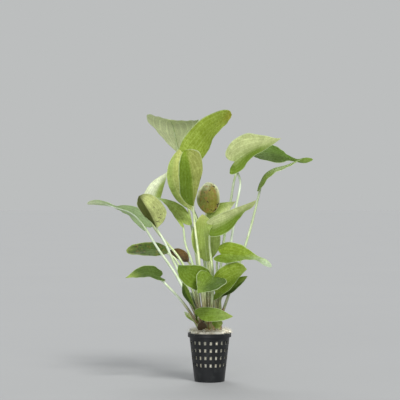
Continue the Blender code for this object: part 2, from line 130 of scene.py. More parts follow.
def add_piece(name, solid, finishes, node, sharp):
    """A piece of the plant from a bmesh in millimetres, which stands for a node of the frame."""
    bmesh.ops.remove_doubles(solid, verts=solid.verts, dist=0.0005)
    bmesh.ops.recalc_face_normals(solid, faces=solid.faces)
    bmesh.ops.scale(solid, vec=(MM, MM, MM), verts=solid.verts)
    mesh = bpy.data.meshes.new(name)
    solid.to_mesh(mesh)
    solid.free()
    mesh.shade_smooth()
    mesh.set_sharp_from_angle(angle=math.radians(sharp))
    for finish in finishes:
        mesh.materials.append(finish)
    piece = add_object(name, mesh)
    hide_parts(node)
    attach(piece, "root")
    return piece


def about_axis(radius, turn, height):
    """A point beside the pot's axis."""
    return Vector((radius * math.cos(turn), radius * math.sin(turn), height))


def pot_ring(solid, radius, height):
    """Points round the pot's axis, SLOT_PARTS of them to each slot and to each bar."""
    ring = []
    for n in range(2 * SLOT_COLUMNS * SLOT_PARTS):
        part = n % SLOT_PARTS / SLOT_PARTS
        in_bar = n // SLOT_PARTS % 2
        share = SLOT_SHARE + (1 - SLOT_SHARE) * part if in_bar else SLOT_SHARE * part
        turn = 2 * math.pi * (n // (2 * SLOT_PARTS) + share) / SLOT_COLUMNS
        ring.append(solid.verts.new(about_axis(radius, turn, height)))
    return ring


def join_rings(solid, rings):
    """Quads between each ring and the next."""
    for low, high in zip(rings, rings[1:]):
        for n in range(len(low)):
            after = (n + 1) % len(low)
            solid.faces.new((low[n], low[after], high[after], high[n]))


def close_ends(solid, rings):
    solid.faces.new(rings[0])
    solid.faces.new(rings[-1])


def pot_radius(height):
    """Outer radius of the wall at that height."""
    return POT_BASE_RADIUS + (POT_TOP_RADIUS - POT_BASE_RADIUS) * height / (POT_HEIGHT - RIM_DEPTH)


def matt_plastic():
    material, tree, shader, spot = new_finish("matt_black_plastic")
    grain = cloud(tree, spot, 2600, 2)
    bloom = rise(tree, cloud(tree, spot, 130, 5), 0.52, 0.8)
    black = mixed(tree, grain, tone(15, 17, 19), tone(24, 26, 29))
    dusty = mixed(tree, bloom, black, tone(44, 47, 48))
    rough = calc(tree, "MULTIPLY_ADD", bloom, 0.25, 0.42)
    feed(tree, shader, {"Base Color": dusty, "Roughness": rough, "Specular IOR Level": 0.35})
    relief(tree, shader, grain, 0.35, 0.00012)
    return material


def make_net_pot():
    sides = 2 * SLOT_COLUMNS * SLOT_PARTS
    solid = bmesh.new()
    levels = [0.0]
    for middle in SLOT_MIDDLES:
        levels += [middle - SLOT_HEIGHT / 2, middle + SLOT_HEIGHT / 2]
    levels.append(POT_HEIGHT - RIM_DEPTH)
    outer = [pot_ring(solid, pot_radius(z), z) for z in levels]
    inner = [pot_ring(solid, pot_radius(z) - POT_WALL, z) for z in [POT_FLOOR, *levels[1:]]]
    for n in range(sides):
        after = (n + 1) % sides
        column = n // SLOT_PARTS
        part = n % SLOT_PARTS
        for low in range(len(levels) - 1):
            high = low + 1
            if low % 2 == 0 or column % 2:
                for skin in (outer, inner):
                    solid.faces.new((skin[low][n], skin[low][after], skin[high][after], skin[high][n]))
                continue
            # A slot goes through here: its sill and its lintel, and its cheeks where it begins and ends
            for h in (low, high):
                solid.faces.new((outer[h][n], outer[h][after], inner[h][after], inner[h][n]))
            cheeks = {0: n, SLOT_PARTS - 1: after}
            if part in cheeks:
                c = cheeks[part]
                solid.faces.new((outer[low][c], outer[high][c], inner[high][c], inner[low][c]))
    lip = [
        pot_ring(solid, RIM_RADIUS - 0.2, POT_HEIGHT - RIM_DEPTH),
        pot_ring(solid, RIM_RADIUS, POT_HEIGHT - RIM_DEPTH + 1.2),
        pot_ring(solid, RIM_RADIUS - 0.15, POT_HEIGHT - 2),
        pot_ring(solid, RIM_RADIUS, POT_HEIGHT),
        pot_ring(solid, POT_TOP_RADIUS - POT_WALL, POT_HEIGHT),
    ]
    join_rings(solid, [outer[-1], *lip, inner[-1]])
    foot = [pot_ring(solid, POT_BASE_RADIUS - 2.5, 0), pot_ring(solid, POT_BASE_RADIUS - 3, 0.5)]
    join_rings(solid, [outer[0], *foot])
    close_ends(solid, [foot[-1], inner[0]])
    pot = add_piece("net_pot_moulded", solid, [matt_plastic()], "net_pot", sharp=35)
    rounding = pot.modifiers.new("rounded edges", "BEVEL")
    rounding.width = EDGE_ROUNDING * MM
    rounding.segments = 2
    rounding.angle_limit = math.radians(40)
    rounding.use_clamp_overlap = True


make_net_pot()

# Rock wool plug
# A plug of cream mineral wool that holds the roots. It fills the pot, bulges into the slots and frays
# over the rim in loose lumps, the largest on the right, with a film of green algae on the left.

GAP = 0.3
WOOL_FOOT = 2.4
WOOL_SHOULDER = 60.5
WOOL_TOP = 62.5
WOOL_RADIUS = POT_TOP_RADIUS - POT_WALL - 2 * GAP
WOOL_SIDES = 160
WOOL_STEPS = 60  # up the plug's side
SHOULDER_STEPS = 8  # from the rim in to the crown
FIBRE_RADIUS = 0.065
FIBRE_TIP_RADIUS = 0.03
FIBRE_STEPS = 5
LUMP_FIBRES = 70
LUMP_FIBRE_LENGTH = 4
TOP_FIBRES = 1300
TOP_FIBRE_LENGTHS = (2.5, 7)
SLOT_FIBRES = 700
SLOT_FIBRE_LENGTHS = (0.8, 1.6)
CROWN_RADIUS = 17.0
CROWN_EDGE = 61.0
Lump = namedtuple("Lump", "turn reach height size")
LUMPS = (
    Lump(-0.55, 23.5, 62.3, 3.4),
    Lump(-0.15, 24.5, 61.5, 2.6),
    Lump(-2.3, 23.5, 61.6, 2.6),
    Lump(-1.5, 22.5, 61.8, 2.0),
    Lump(2.6, 23.0, 62.0, 2.8),
    Lump(1.2, 23.0, 61.6, 2.4),
    Lump(0.4, 22.8, 61.6, 2.0),
)


def times(tree, first, second):
    return calc(tree, "MULTIPLY", first, second)


def tinted(tree, colour, where, strength, tint):
    """A colour with a tint laid over it, which is as strong as given where that is 1."""
    return mixed(tree, times(tree, where, strength), colour, tint)


def add_strand(solid, points, radii, sides=3):
    """A tube along the points, closed at both ends."""
    rings = []
    across = Vector((0.31, 0.21, 0.93))
    for n, point in enumerate(points):
        ahead = (points[min(n + 1, len(points) - 1)] - points[max(n - 1, 0)]).normalized()
        across = (across - ahead * across.dot(ahead)).normalized()
        beside = ahead.cross(across)
        turns = (2 * math.pi * step / sides for step in range(sides))
        rings.append([
            solid.verts.new(point + (across * math.cos(turn) + beside * math.sin(turn)) * radii[n])
            for turn in turns
        ])
    join_rings(solid, rings)
    close_ends(solid, rings)


def add_fibre(solid, chance, start, way, length):
    """One loose, bent fibre of the wool."""
    points = [start]
    heading = way.normalized()
    for _ in range(FIBRE_STEPS):
        stray = Vector((chance.gauss(0, 0.35), chance.gauss(0, 0.35), chance.gauss(0, 0.3) - 0.12))
        heading = (heading + stray).normalized()
        step = points[-1] + heading * length / FIBRE_STEPS
        step.z = max(step.z, POT_HEIGHT + 0.15) if start.z > POT_HEIGHT else step.z
        points.append(step)
    radii = [FIBRE_RADIUS] * (FIBRE_STEPS - 1) + [FIBRE_RADIUS * 0.8, FIBRE_TIP_RADIUS]
    add_strand(solid, points, radii)


def mineral_wool():
    material, tree, shader, spot = new_finish("mineral_wool")
    parts = place(tree, "SeparateXYZ", {"Vector": spot})
    fleck = cloud(tree, spot, 900, 4)
    patch = rise(tree, cloud(tree, spot, 120, 3), 0.4, 0.65)
    wool = mixed(tree, fleck, tone(214, 211, 192), tone(252, 251, 242))
    wool = tinted(tree, wool, patch, 0.45, tone(204, 190, 160))
    left = rise(tree, parts.outputs["X"], -0.012, -0.024)
    algae = times(tree, left, rise(tree, cloud(tree, spot, 200, 3), 0.42, 0.6))
    wool = tinted(tree, wool, algae, 0.6, tone(132, 142, 84))
    # Painted shade: the wool inside the pot, seen through the slots, is darkened in patches for the pot
    # wall's shadow.
    deep = rise(tree, parts.outputs["Z"], 0.058, 0.05)
    painted_slot_shade = times(tree, deep, rise(tree, cloud(tree, spot, 170, 2), 0.4, 0.55))
    wool = tinted(tree, wool, painted_slot_shade, 0.4, tone(146, 146, 122))
    feed(tree, shader, {"Base Color": wool, "Roughness": 0.95, "Specular IOR Level": 0.15})
    relief(tree, shader, fleck, 0.8, 0.0006)
    return material


def in_slot(turn, height):
    """How far a point of the plug's side faces a slot, from 0 to 1."""
    step = turn / (2 * math.pi) * SLOT_COLUMNS % 1
    sideways = max(0, 1 - abs(step - SLOT_SHARE / 2) / (0.55 * SLOT_SHARE))
    upwards = max(0, 1 - min(abs(height - middle) for middle in SLOT_MIDDLES) / (0.6 * SLOT_HEIGHT))
    return math.sqrt(sideways * upwards)


def add_turned(solid, profile, sides, point_of):
    """A closed body round the pot's axis, with a ring of points for each radius and height of its profile."""
    rings = []
    for radius, height in profile:
        turns = (2 * math.pi * n / sides for n in range(sides))
        rings.append([solid.verts.new(point_of(radius, turn, height)) for turn in turns])
    join_rings(solid, rings)
    close_ends(solid, rings)


def plug_profile():
    """Radius and height from the middle of the plug's base, up its side and over its shoulder."""
    base_radius = pot_radius(POT_FLOOR) - POT_WALL - 2 * GAP
    profile = [(0.1, POT_FLOOR + GAP), (base_radius - 0.8, POT_FLOOR + GAP)]
    for n in range(WOOL_STEPS + 1):
        share = n / WOOL_STEPS
        radius = base_radius + (WOOL_RADIUS - base_radius) * share
        profile.append((radius, WOOL_FOOT + (WOOL_SHOULDER - WOOL_FOOT) * share))
    for n in range(1, SHOULDER_STEPS + 1):
        share = n / SHOULDER_STEPS
        radius = WOOL_RADIUS + 0.4 - (WOOL_RADIUS - CROWN_RADIUS - 1.0) * share
        profile.append((radius, WOOL_SHOULDER + 1.8 * math.sin(math.pi * min(1, share + 0.25)) ** 0.6))
    profile.append((CROWN_RADIUS + 0.5, CROWN_EDGE - 1.5))
    return profile


def plug_point(radius, turn, height):
    """A point of the plug's rough skin, which bulges into the slots."""
    spot = about_axis(radius, turn, height)
    rough = noise.fractal(spot * 0.35, 0.8, 2.0, 4) * 0.5
    bulge = 0.0
    if height < POT_HEIGHT - RIM_DEPTH:
        rough = min(rough, 0.1)
        bulge = in_slot(turn, height) * (1.1 + noise.noise(spot * 0.4) * 0.8)
    up = rough + 0.3 if height > WOOL_SHOULDER else 0
    return spot + about_axis(rough + bulge, turn, up)


def make_wool():
    solid = bmesh.new()
    add_turned(solid, plug_profile(), WOOL_SIDES, plug_point)
    chance = random.Random(11)
    for lump in LUMPS:
        middle = about_axis(lump.reach, lump.turn, lump.height)
        ball = bmesh.ops.create_icosphere(solid, subdivisions=4, radius=lump.size)
        for vertex in ball["verts"]:
            rough = 1 + 0.45 * noise.fractal((vertex.co + middle) * 0.5, 0.7, 2.0, 4)
            vertex.co = vertex.co * rough
            vertex.co.z *= 0.5
            vertex.co += middle
        for _ in range(LUMP_FIBRES):
            start = Vector((chance.gauss(0, 1), chance.gauss(0, 1), chance.gauss(0, 0.6))).normalized()
            add_fibre(solid, chance, middle + start * lump.size * 0.8, start, LUMP_FIBRE_LENGTH)
    for _ in range(TOP_FIBRES):
        turn = chance.uniform(0, 2 * math.pi)
        radius = chance.uniform(CROWN_RADIUS + 0.5, WOOL_RADIUS + 0.6)
        lean = (chance.uniform(-0.4, 1), chance.uniform(-0.4, 1))
        way = Vector((math.cos(turn) * lean[0], math.sin(turn) * lean[1], 0.35))
        start = about_axis(radius, turn, WOOL_TOP - 0.2)
        add_fibre(solid, chance, start, way, chance.uniform(*TOP_FIBRE_LENGTHS))
    for _ in range(SLOT_FIBRES):
        column = chance.randrange(SLOT_COLUMNS)
        turn = (column + SLOT_SHARE * chance.uniform(0.15, 0.85)) * 2 * math.pi / SLOT_COLUMNS
        height = chance.choice(SLOT_MIDDLES) + chance.uniform(-1.9, 1.9)
        start = about_axis(pot_radius(height) - 0.9, turn, height)
        way = about_axis(0.6, turn, chance.uniform(-0.8, 0.8))
        add_fibre(solid, chance, start, way, chance.uniform(*SLOT_FIBRE_LENGTHS))
    add_piece("rock_wool_matted", solid, [mineral_wool()], "rock_wool", sharp=180)


make_wool()

# Crown
# The short rootstock that all the stalks grow from. It is wrapped in the sheaths of old leaves, brown and
# papery at their torn tops, and its pale roots run down into the wool. The tall sheaths, painted dark brown
# high up, also stand as painted shade in the gaps between the stalks.

CROWN_TOP = 66.0
CROWN_BOTTOM = 38.0
CROWN_FOOT_RADIUS = 7.0
CROWN_SIDES = 72
CROWN_STEPS = 13
SHEATHS = 26
SHEATH_TURN = 2.39996  # from one sheath to the next, as leaves follow each other round a shoot
SHEATH_WIDTHS = (1.9, 3.1)
SHEATH_LEANS = (-0.4, 1.2)
# tall sheaths reach up between the stalks, where their dark tops are painted shade
TALL_SHEATH_HEIGHTS = (13, 27)
LOW_SHEATH_HEIGHTS = (4, 9)
SHEATH_COLUMNS = 9
SHEATH_ROWS = 8
SHEATH_WALL = 0.45
SHEATH_ARC = 200  # degrees, how far a sheath reaches round its stalk
SHEATH_SINK = 1.2  # how deep it stands in the crown
ROOTS = 60
ROOT_RADII = (0.34, 0.33, 0.3, 0.28, 0.26, 0.22, 0.15)


def crown_height(x, y):
    """Height of the crown's top there."""
    share = min(1, math.hypot(x, y) / CROWN_RADIUS)
    return CROWN_EDGE + (CROWN_TOP - CROWN_EDGE) * math.sqrt(1 - share * share)


def rootstock():
    material, tree, shader, spot = new_finish("rootstock")
    parts = place(tree, "SeparateXYZ", {"Vector": spot})
    stretched = place(tree, "Mapping", {"Vector": spot, "Scale": (1.0, 1.0, 0.18)}).outputs["Vector"]
    threads = cloud(tree, stretched, 1500, 4)
    patch = rise(tree, cloud(tree, spot, 160, 3), 0.38, 0.6)
    pale = mixed(tree, threads, tone(150, 138, 92), tone(206, 200, 156))
    brown = mixed(tree, threads, tone(58, 36, 24), tone(138, 96, 60))
    skin = mixed(tree, patch, pale, brown)
    # Painted shade: dark brown on the sheaths above the crown's top, for the shade in the gaps between the
    # stalks.
    top = rise(tree, parts.outputs["Z"], 0.068, 0.074)
    skin = tinted(tree, skin, top, 0.7, tone(70, 44, 28))
    feed(tree, shader, {"Base Color": skin, "Roughness": 0.62})
    relief(tree, shader, threads, 0.7, 0.0005)
    return material


def crown_point(radius, turn, height):
    """A point of the rootstock's skin, which is rough and ribbed where it stands out of the wool."""
    spot = about_axis(radius, turn, height)
    rough = noise.fractal(spot * 0.3, 0.8, 2.0, 3) * 0.5 + 0.25 * math.sin(9 * turn + radius)
    spot.z += min(0.4, rough) if height > POT_HEIGHT - RIM_DEPTH else 0
    return spot


def add_sheath(solid, turn, reach, full_width, height, lean):
    """A hollow, torn stump of an old leaf stalk, standing on the crown."""
    columns = SHEATH_COLUMNS
    rows = SHEATH_ROWS
    middle = about_axis(reach, turn, 0)
    outward = middle.normalized()
    beside = Vector((-outward.y, outward.x, 0))
    base = crown_height(middle.x, middle.y) - SHEATH_SINK
    skins = []
    for inset in (0.0, SHEATH_WALL):
        grid = []
        for row in range(rows + 1):
            share = row / rows
            line = []
            for n in range(columns + 1):
                angle = math.radians(SHEATH_ARC * (n / columns - 0.5))
                width = (full_width - inset) * (1 - 0.45 * share)
                torn = 1 + 0.35 * noise.noise(Vector((n * 0.9, turn * 7, height)))
                spot = middle + outward * (width * (math.cos(angle) - 0.6) + lean * share * share)
                spot += beside * width * math.sin(angle)
                spot.z = base + height * share * torn
                line.append(solid.verts.new(spot))
            grid.append(line)
        skins.append(grid)
    for grid in skins:
        for low, high in zip(grid, grid[1:]):
            for n in range(columns):
                solid.faces.new((low[n], low[n + 1], high[n + 1], high[n]))
    outer, inner = skins
    border = [(0, n) for n in range(columns)] + [(row, columns) for row in range(rows)]
    border += [(rows, n) for n in range(columns, 0, -1)] + [(row, 0) for row in range(rows, 0, -1)]
    for (row, n), (next_row, next_n) in zip(border, border[1:] + border[:1]):
        solid.faces.new((outer[row][n], outer[next_row][next_n], inner[next_row][next_n], inner[row][n]))


def add_root(solid, chance):
    """A root that runs out over the crown's edge and down into the wool."""
    turn = chance.uniform(0, 2 * math.pi)
    points = [about_axis(15.2, turn, CROWN_EDGE + 2.2)]
    for step in range(len(ROOT_RADII) - 1):
        turn += chance.uniform(-0.07, 0.07)
        drop = 0.2 if step < 4 else 1.2
        points.append(about_axis(16 + step * 0.9, turn, points[-1].z - drop))
    add_strand(solid, points, ROOT_RADII, sides=6)


def make_crown():
    solid = bmesh.new()
    profile = [(CROWN_FOOT_RADIUS * 0.2, CROWN_BOTTOM), (CROWN_FOOT_RADIUS, CROWN_BOTTOM)]
    profile += [(CROWN_RADIUS - 0.6, CROWN_EDGE - 1.5)]
    for n in range(CROWN_STEPS):
        share = 1 - n / (CROWN_STEPS - 0.8)
        profile.append((CROWN_RADIUS * share, crown_height(CROWN_RADIUS * share, 0)))
    add_turned(solid, profile, CROWN_SIDES, crown_point)
    chance = random.Random(5)
    for n in range(SHEATHS):
        turn = n * SHEATH_TURN + chance.uniform(-0.2, 0.2)
        reach = 3.5 + 12.2 * math.sqrt((n + 0.5) / SHEATHS)
        height = chance.uniform(*(TALL_SHEATH_HEIGHTS if n % 2 else LOW_SHEATH_HEIGHTS))
        width = chance.uniform(*SHEATH_WIDTHS)
        add_sheath(solid, turn, reach, width, height, chance.uniform(*SHEATH_LEANS))
    for _ in range(ROOTS):
        add_root(solid, chance)
    add_piece("crown_with_sheaths", solid, [rootstock()], "crown", sharp=60)


make_crown()

# Leaf stalks
# Each blade is carried by its own long stalk, ribbed and juicy, pale green to whitish. It clasps the crown
# with a flattened foot, bends in behind the blade and runs on under it to the tip as the midrib.

BLADE_THICKNESS = 0.6
RIB_DEPTH = 0.6
RIB_TIP_RADIUS = 0.12
STALK_SIDES = 14
STALK_STEP = 2.5
STALK_FOOT_RADIUS = 1.9
STALK_TOP_RADIUS = 1.25
STALK_LEAN = 0.35
STALK_RIBS = 7
STALK_RIB_DEPTH = 0.07  # of the radius
FOOT_CLEARANCE = 0.9
FOOT_LENGTH = 34.0  # over which the clasping foot narrows into the stalk
RIB_SHARE = (0.1, 0.3, 0.55, 0.8, 0.97)  # where the midrib is followed under the blade
KEEL_DROP = 0.85  # how far the midrib hangs under the blade, in its own radii
CURVE_STEPS = 12  # between two points of a table
LIE_SCALE = 0.01  # of a stalk's length in millimetres in the layer "lie", which its finish follows

# rib: points along the midrib, from the stalk to the tip.  face: the way the upper side looks, at the
# stalk and at the tip.  halves: widths left and right of the midrib, seen from above with the tip away.
# shape: their outlines.  fold: how far each is raised, in degrees.  curl: how far it bends on from
# there.  ripple: height of the margin's waves.  foot: where the stalk stands on the crown.  way: points
# that the stalk passes.  slot: the leaf's kind; pale ones are less mottled.  tones: of the left half, the
# right
# half, the tip and the underside.  stalk: its tone.  specks: how far the leaf has aged
# Where a leaf's two halves have different tones, the darker half is partly painted shade, for the half turned
# from the light.
Leaf = namedtuple(
    "Leaf",
    "rib face halves shape fold curl ripple foot way slot tones stalk specks",
    defaults=("celery", 0.0),
)

LEAVES = (
    # 1, top left, its underside to the front
    Leaf(((-40, 60, 285), (-43, 58, 304), (-46, 46, 319), (-50, 20, 325.5)), ((0, 1, 0), (0.2, 0.2, 1)),
         (34, 35), "wedge wedge", (5, 5), (12, 12), 1.0, (-3.6, 11.8), ((-24, 44, 200),),
         "leaf_pale", "grass grass lime chalk"),
    # 2, top, the highest leaf, bright
    Leaf(((-33, 38, 263), (-14, 31, 292), (0, 19, 309.5), (14, 2, 320.5), (27.5, -16, 329.5)),
         ((-0.3, -1, 0.3), (-0.2, -1, 0.5)), (22, 17), "long_blunt long_blunt", (8, 8), (10, 10), 0.8,
         (-1.5, 6.8), ((-12, 24, 190),), "leaf_bright", "lemon lemon gold celery", "grass"),
    # 3, middle, folded along its midrib, in front; its darker left half is painted shade
    Leaf(((-20, -8, 217), (-20, -18, 243), (-24, -24, 267), (-31, -20, 286)), ((0, -1, 0.1), (0, -1, 0.3)),
         (24, 19), "oval high_wedge", (36, 32), (10, 5), 0.6, (-4.5, -1), ((-13, -5, 150),),
         "leaf_green", "grass straw lime celery", "cream"),
    # 4, middle, behind leaf 3
    Leaf(((-23, 8, 213), (-36, 10, 228), (-45, 12, 250), (-44, 18, 272), (-38, 26, 289)),
         ((-0.2, -1, 0.1), (0, -1, 0.2)), (8, 28), "oval oval", (10, 5), (10, 0), 0.6,
         (-4.5, 3), ((-14, 8, 150),), "leaf_bright", "celery straw straw celery", "celery", 0.3),
    # 5, right, high
    Leaf(((31, -10, 272), (47.5, -18, 284), (68, -28, 293), (87, -38, 299.5)),
         ((-0.3, -0.9, 0.5), (-0.2, -0.9, 0.4)), (24, 17), "round_lobe deep_lobe", (8, -5), (10, 20), 0.8,
         (4.5, -3), ((26, -4, 168), (33, -3, 216), (38, -3, 248)),
         "leaf_pale", "cream grass cream celery", "ice"),
    # 6, right, behind leaf 5
    Leaf(((54, 36, 282), (73, 42, 284.5), (95.5, 50, 280), (114.5, 58, 275), (133.5, 64, 277)),
         ((0.1, -0.8, 0.6), (0.1, -0.8, 0.6)), (14, 14), "drawn_out drawn_out", (0, 0), (0, 0), 0.6,
         (8, 5), ((19, 18, 180), (27, 24, 224), (34, 28, 258), (42, 32, 274)),
         "leaf_deep", "fern moss grass sage", "sage"),
    # 7, far right, arching and seen from its edge
    Leaf(((62, -4, 245), (68, -6, 256), (78, -8, 263), (93, -11, 267), (106, -13, 272), (115, -14, 276)),
         ((-0.6, -0.1, 0.8), (0, -0.2, 1)), (18, 20), "heart heart", (-6, -6), (-12, -12), 0.6,
         (9.4, 0), ((43, -4, 164), (48, -4, 180)), "leaf_green", "fern grass grass grass", "sage"),
    # 8, middle right
    Leaf(((5, -14, 194), (20, -23, 200), (38, -35, 211), (56, -48, 224.5)),
         ((-0.3, -1, 0.4), (-0.2, -1, 0.3)), (10, 20), "heart long_heart", (10, 10), (10, 10), 0.6,
         (2, -8.4), (), "leaf_pale", "cream grass cream celery"),
    # 9, middle right, behind leaf 8
    Leaf(((4, 14, 197), (13, 15, 208), (23, 14, 216), (33, 12, 223)), ((-0.3, -1, 0.3), (-0.2, -1, 0.3)),
         (14, 10), "heart heart", (5, 5), (10, 10), 0.5, (4, 9), (),
         "leaf_pale", "celery cream cream celery"),
    # 10, old and brown, in the middle
    Leaf(((-4, 10, 208), (-2, 6, 227), (-3, 10, 247)), ((0, -1, 0.1), (0, -1, 0.2)), (14, 15), "oval blunt",
         (5, 5), (5, 5), 1.0, (2.6, 4.4), (), "leaf_old", "olive khaki ivory tan", "straw", 1.3),
    # 11, standing in the heart of the plant
    Leaf(((-3, 5, 148), (-6, 4, 176), (-9, 5, 207)), ((0, -1, 0), (0, -1, 0.1)), (17, 20), "oval oval",
         (8, 8), (5, 5), 0.5, (0, 0), (), "leaf_pale", "celery celery straw celery", "celery", 0.2),
    # 12, right, lower
    Leaf(((14, -22, 158), (33, -32, 157), (47.5, -41, 156), (61, -49, 152), (74.5, -55, 143.5)),
         ((0, -0.8, 0.6), (0, -0.8, 0.6)), (18, 14), "long_heart long_heart", (5, 5), (5, 5), 0.8,
         (8.7, -5.2), (), "leaf_bright", "lime grass ice celery"),
    # 13, lower right, in front
    Leaf(((7, -24, 111), (20, -33, 122), (34, -41, 133.5), (45, -47, 141)),
         ((-0.3, -0.9, 0.3), (-0.3, -0.9, 0.3)), (20, 10), "blunt heart", (10, 10), (5, 5), 0.8,
         (7, -10), (), "leaf_green", "lime grass celery celery"),
    # 14, lower right, under leaf 13
    Leaf(((14, -16, 106), (26, -20, 114), (38, -24, 124), (46.5, -26, 131.5)),
         ((-0.3, -0.9, 0.3), (-0.3, -0.9, 0.3)), (9, 4), "oval oval", (10, 10), (5, 5), 0.5,
         (13.4, -3.6), (), "leaf_green", "grass moss celery celery"),
    # 15, lower left, in front
    Leaf(((-8, -28, 124), (-21, -38, 133), (-38, -47, 146)), ((0, -0.9, 0.3), (0, -0.9, 0.4)), (17, 17),
         "blunt heart", (10, 10), (10, 10), 0.8, (-3, -9.2), (), "leaf_green", "grass grass fern celery"),
    # 16, low in the middle, pointing to the front
    Leaf(((4, -44, 131), (-3, -56, 125), (-15, -68, 113)), ((0, -0.7, 0.7), (0, -0.9, 0.5)), (20, 18),
         "heart heart", (5, 5), (5, 5), 0.8, (1, -14), ((3, -36, 104),),
         "leaf_deep", "moss grass grass celery"),
    # 17, the lowest leaf in front
    Leaf(((-14, -34, 83), (-2, -40, 84.5), (13, -42, 85.5), (28.5, -40, 83.5)),
         ((0, -0.9, 0.4), (0, -0.9, 0.4)), (11, 9), "heart oval", (5, 5), (5, 5), 0.5, (-8, -11.8), (),
         "leaf_bright", "grass grass celery celery", "cream"),
    # 18, small, low right
    Leaf(((8, -20, 66), (9, -24, 72), (9, -28, 79)), ((0, -1, 0.2), (0, -1, 0.3)), (7, 7), "wedge wedge",
         (10, 10), (5, 5), 0.3, (6.5, -14.6), (), "leaf_bright", "grass celery lime celery", "cream"),
    # 19, small, old and brown, low left
    Leaf(((-8, -22, 66), (-9, -27, 70), (-10, -31, 77)), ((0, -1, 0.2), (0, -1, 0.3)), (7, 6), "oval oval",
         (10, 10), (5, 5), 0.3, (-5, -14.8), (), "leaf_old", "umber umber umber rust", "cream", 0.4),
    # 20, left, behind leaf 21
    Leaf(((-74.5, 34, 219), (-64.5, 40, 242), (-51.5, 44, 261.5)), ((0.2, -1, 0.2), (0.2, -1, 0.2)),
         (13, 9), "heart heart", (5, 5), (5, 5), 0.4, (-6.4, 7), ((-32, 14, 142),),
         "leaf_pale", "milk celery milk celery"),
    # 21, left, folded along its midrib; its dark bronze left half is painted shade
    Leaf(((-65, -14, 190), (-69.5, -22, 203), (-76, -30, 215), (-86.5, -34, 229.5)),
         ((0.1, -1, 0.2), (0.1, -1, 0.3)), (12, 20), "wedge kite", (20, 30), (5, 5), 0.5,
         (-7.2, -6.4), ((-45, -11, 150), (-57, -13, 176)),
         "leaf_pale", "bronze butter bronze celery", "ice", 0.2),
    # 22, far left, long, its underside to the front
    Leaf(((-79, 6, 191.5), (-95, 2, 208), (-117, -2, 216), (-136, -4, 221), (-152, -4, 220)),
         ((0.3, 0.6, 1), (0, 0.5, 1)), (16, 16), "waisted waisted", (5, 5), (5, 5), 0.6,
         (-9.2, -1.6), ((-45, 1, 137), (-64, 4, 164)), "leaf_pale", "grass grass milk mint", "ice"),
    # 23, left, dull green, its tip behind leaf 21
    Leaf(((-33, 4, 196), (-42, 10, 210), (-54, 17, 221), (-66, 23, 228)),
         ((0.3, -0.7, 0.6), (0.2, -0.7, 0.7)), (7, 14), "heart heart", (5, 5), (5, 5), 0.5,
         (-9, 3.2), ((-22, 5, 148), (-30, 6, 170)), "leaf_deep", "celery celery sage sage", "sage"),
    # 24, small and withered, left
    Leaf(((-26, 26, 147), (-37, 30, 155), (-50, 35, 161)), ((0, -0.9, 0.4), (0, -0.9, 0.4)), (7, 8),
         "oval oval", (10, 10), (5, 5), 0.6, (-10.6, 9.4), (),
         "leaf_old", "umber rust umber tan", "straw", 0.8),
    # 25, left, oval and speckled
    Leaf(((-52, 14, 159), (-70, 24, 162), (-88.5, 34, 162), (-105.5, 42, 161)),
         ((0, -0.8, 0.6), (0, -0.8, 0.6)), (11, 11), "blunt blunt", (5, 5), (5, 5), 0.5, (-13.4, 4.6), (),
         "leaf_speckled", "moss moss celery sage", "sage", 1.0),
    # 26, lower left
    Leaf(((-61, -18, 130), (-75, -26, 133.5), (-89, -34, 132.5), (-102.5, -41, 130)),
         ((0, -0.6, 0.8), (0, -0.6, 0.8)), (9, 17), "heart heart", (5, 5), (5, 5), 0.6,
         (-12, -8), ((-28, -15, 92), (-47, -16, 114)), "leaf_green", "moss moss celery celery", "ice", 0.1),
)

TONES = {
    "milk": tone(244, 250, 222),
    "ivory": tone(228, 238, 200),
    "butter": tone(230, 238, 158),
    "chalk": tone(236, 244, 190),
    "cream": tone(208, 218, 154),
    "straw": tone(192, 200, 112),
    "lemon": tone(170, 192, 74),
    "celery": tone(166, 188, 92),
    "mint": tone(200, 226, 164),
    "sage": tone(166, 192, 128),
    "lime": tone(146, 172, 54),
    "gold": tone(170, 168, 46),
    "grass": tone(120, 148, 46),
    "fern": tone(100, 132, 48),
    "moss": tone(82, 108, 38),
    "olive": tone(112, 120, 48),
    "khaki": tone(144, 144, 50),
    "bronze": tone(76, 84, 34),
    "tan": tone(176, 156, 112),
    "rust": tone(138, 108, 58),
    "umber": tone(86, 70, 46),
    "ice": tone(208, 226, 200),
}


def smooth_route(points):
    """A fine line along a smooth curve through the points, with the length up to each of its points."""
    spots = [Vector(point) for point in points]
    slopes = []
    spans = [(b - a).length for a, b in zip(spots, spots[1:])]
    for n, spot in enumerate(spots):
        if n == 0:
            slopes.append((spots[1] - spot) / spans[0])
        elif n == len(spots) - 1:
            slopes.append((spot - spots[n - 1]) / spans[-1])
        else:
            before = (spot - spots[n - 1]) / spans[n - 1]
            after = (spots[n + 1] - spot) / spans[n]
            share = spans[n - 1] / (spans[n - 1] + spans[n])
            slopes.append(before.lerp(after, share))
    line = [spots[0]]
    for n, span in enumerate(spans):
        for step in range(1, CURVE_STEPS + 1):
            t = step / CURVE_STEPS
            line.append(
                spots[n] * (2 * t**3 - 3 * t**2 + 1)
                + slopes[n] * span * (t**3 - 2 * t**2 + t)
                + spots[n + 1] * (3 * t**2 - 2 * t**3)
                + slopes[n + 1] * span * (t**3 - t**2)
            )
    lengths = [0.0]
    for a, b in zip(line, line[1:]):
        lengths.append(lengths[-1] + (b - a).length)
    return line, lengths


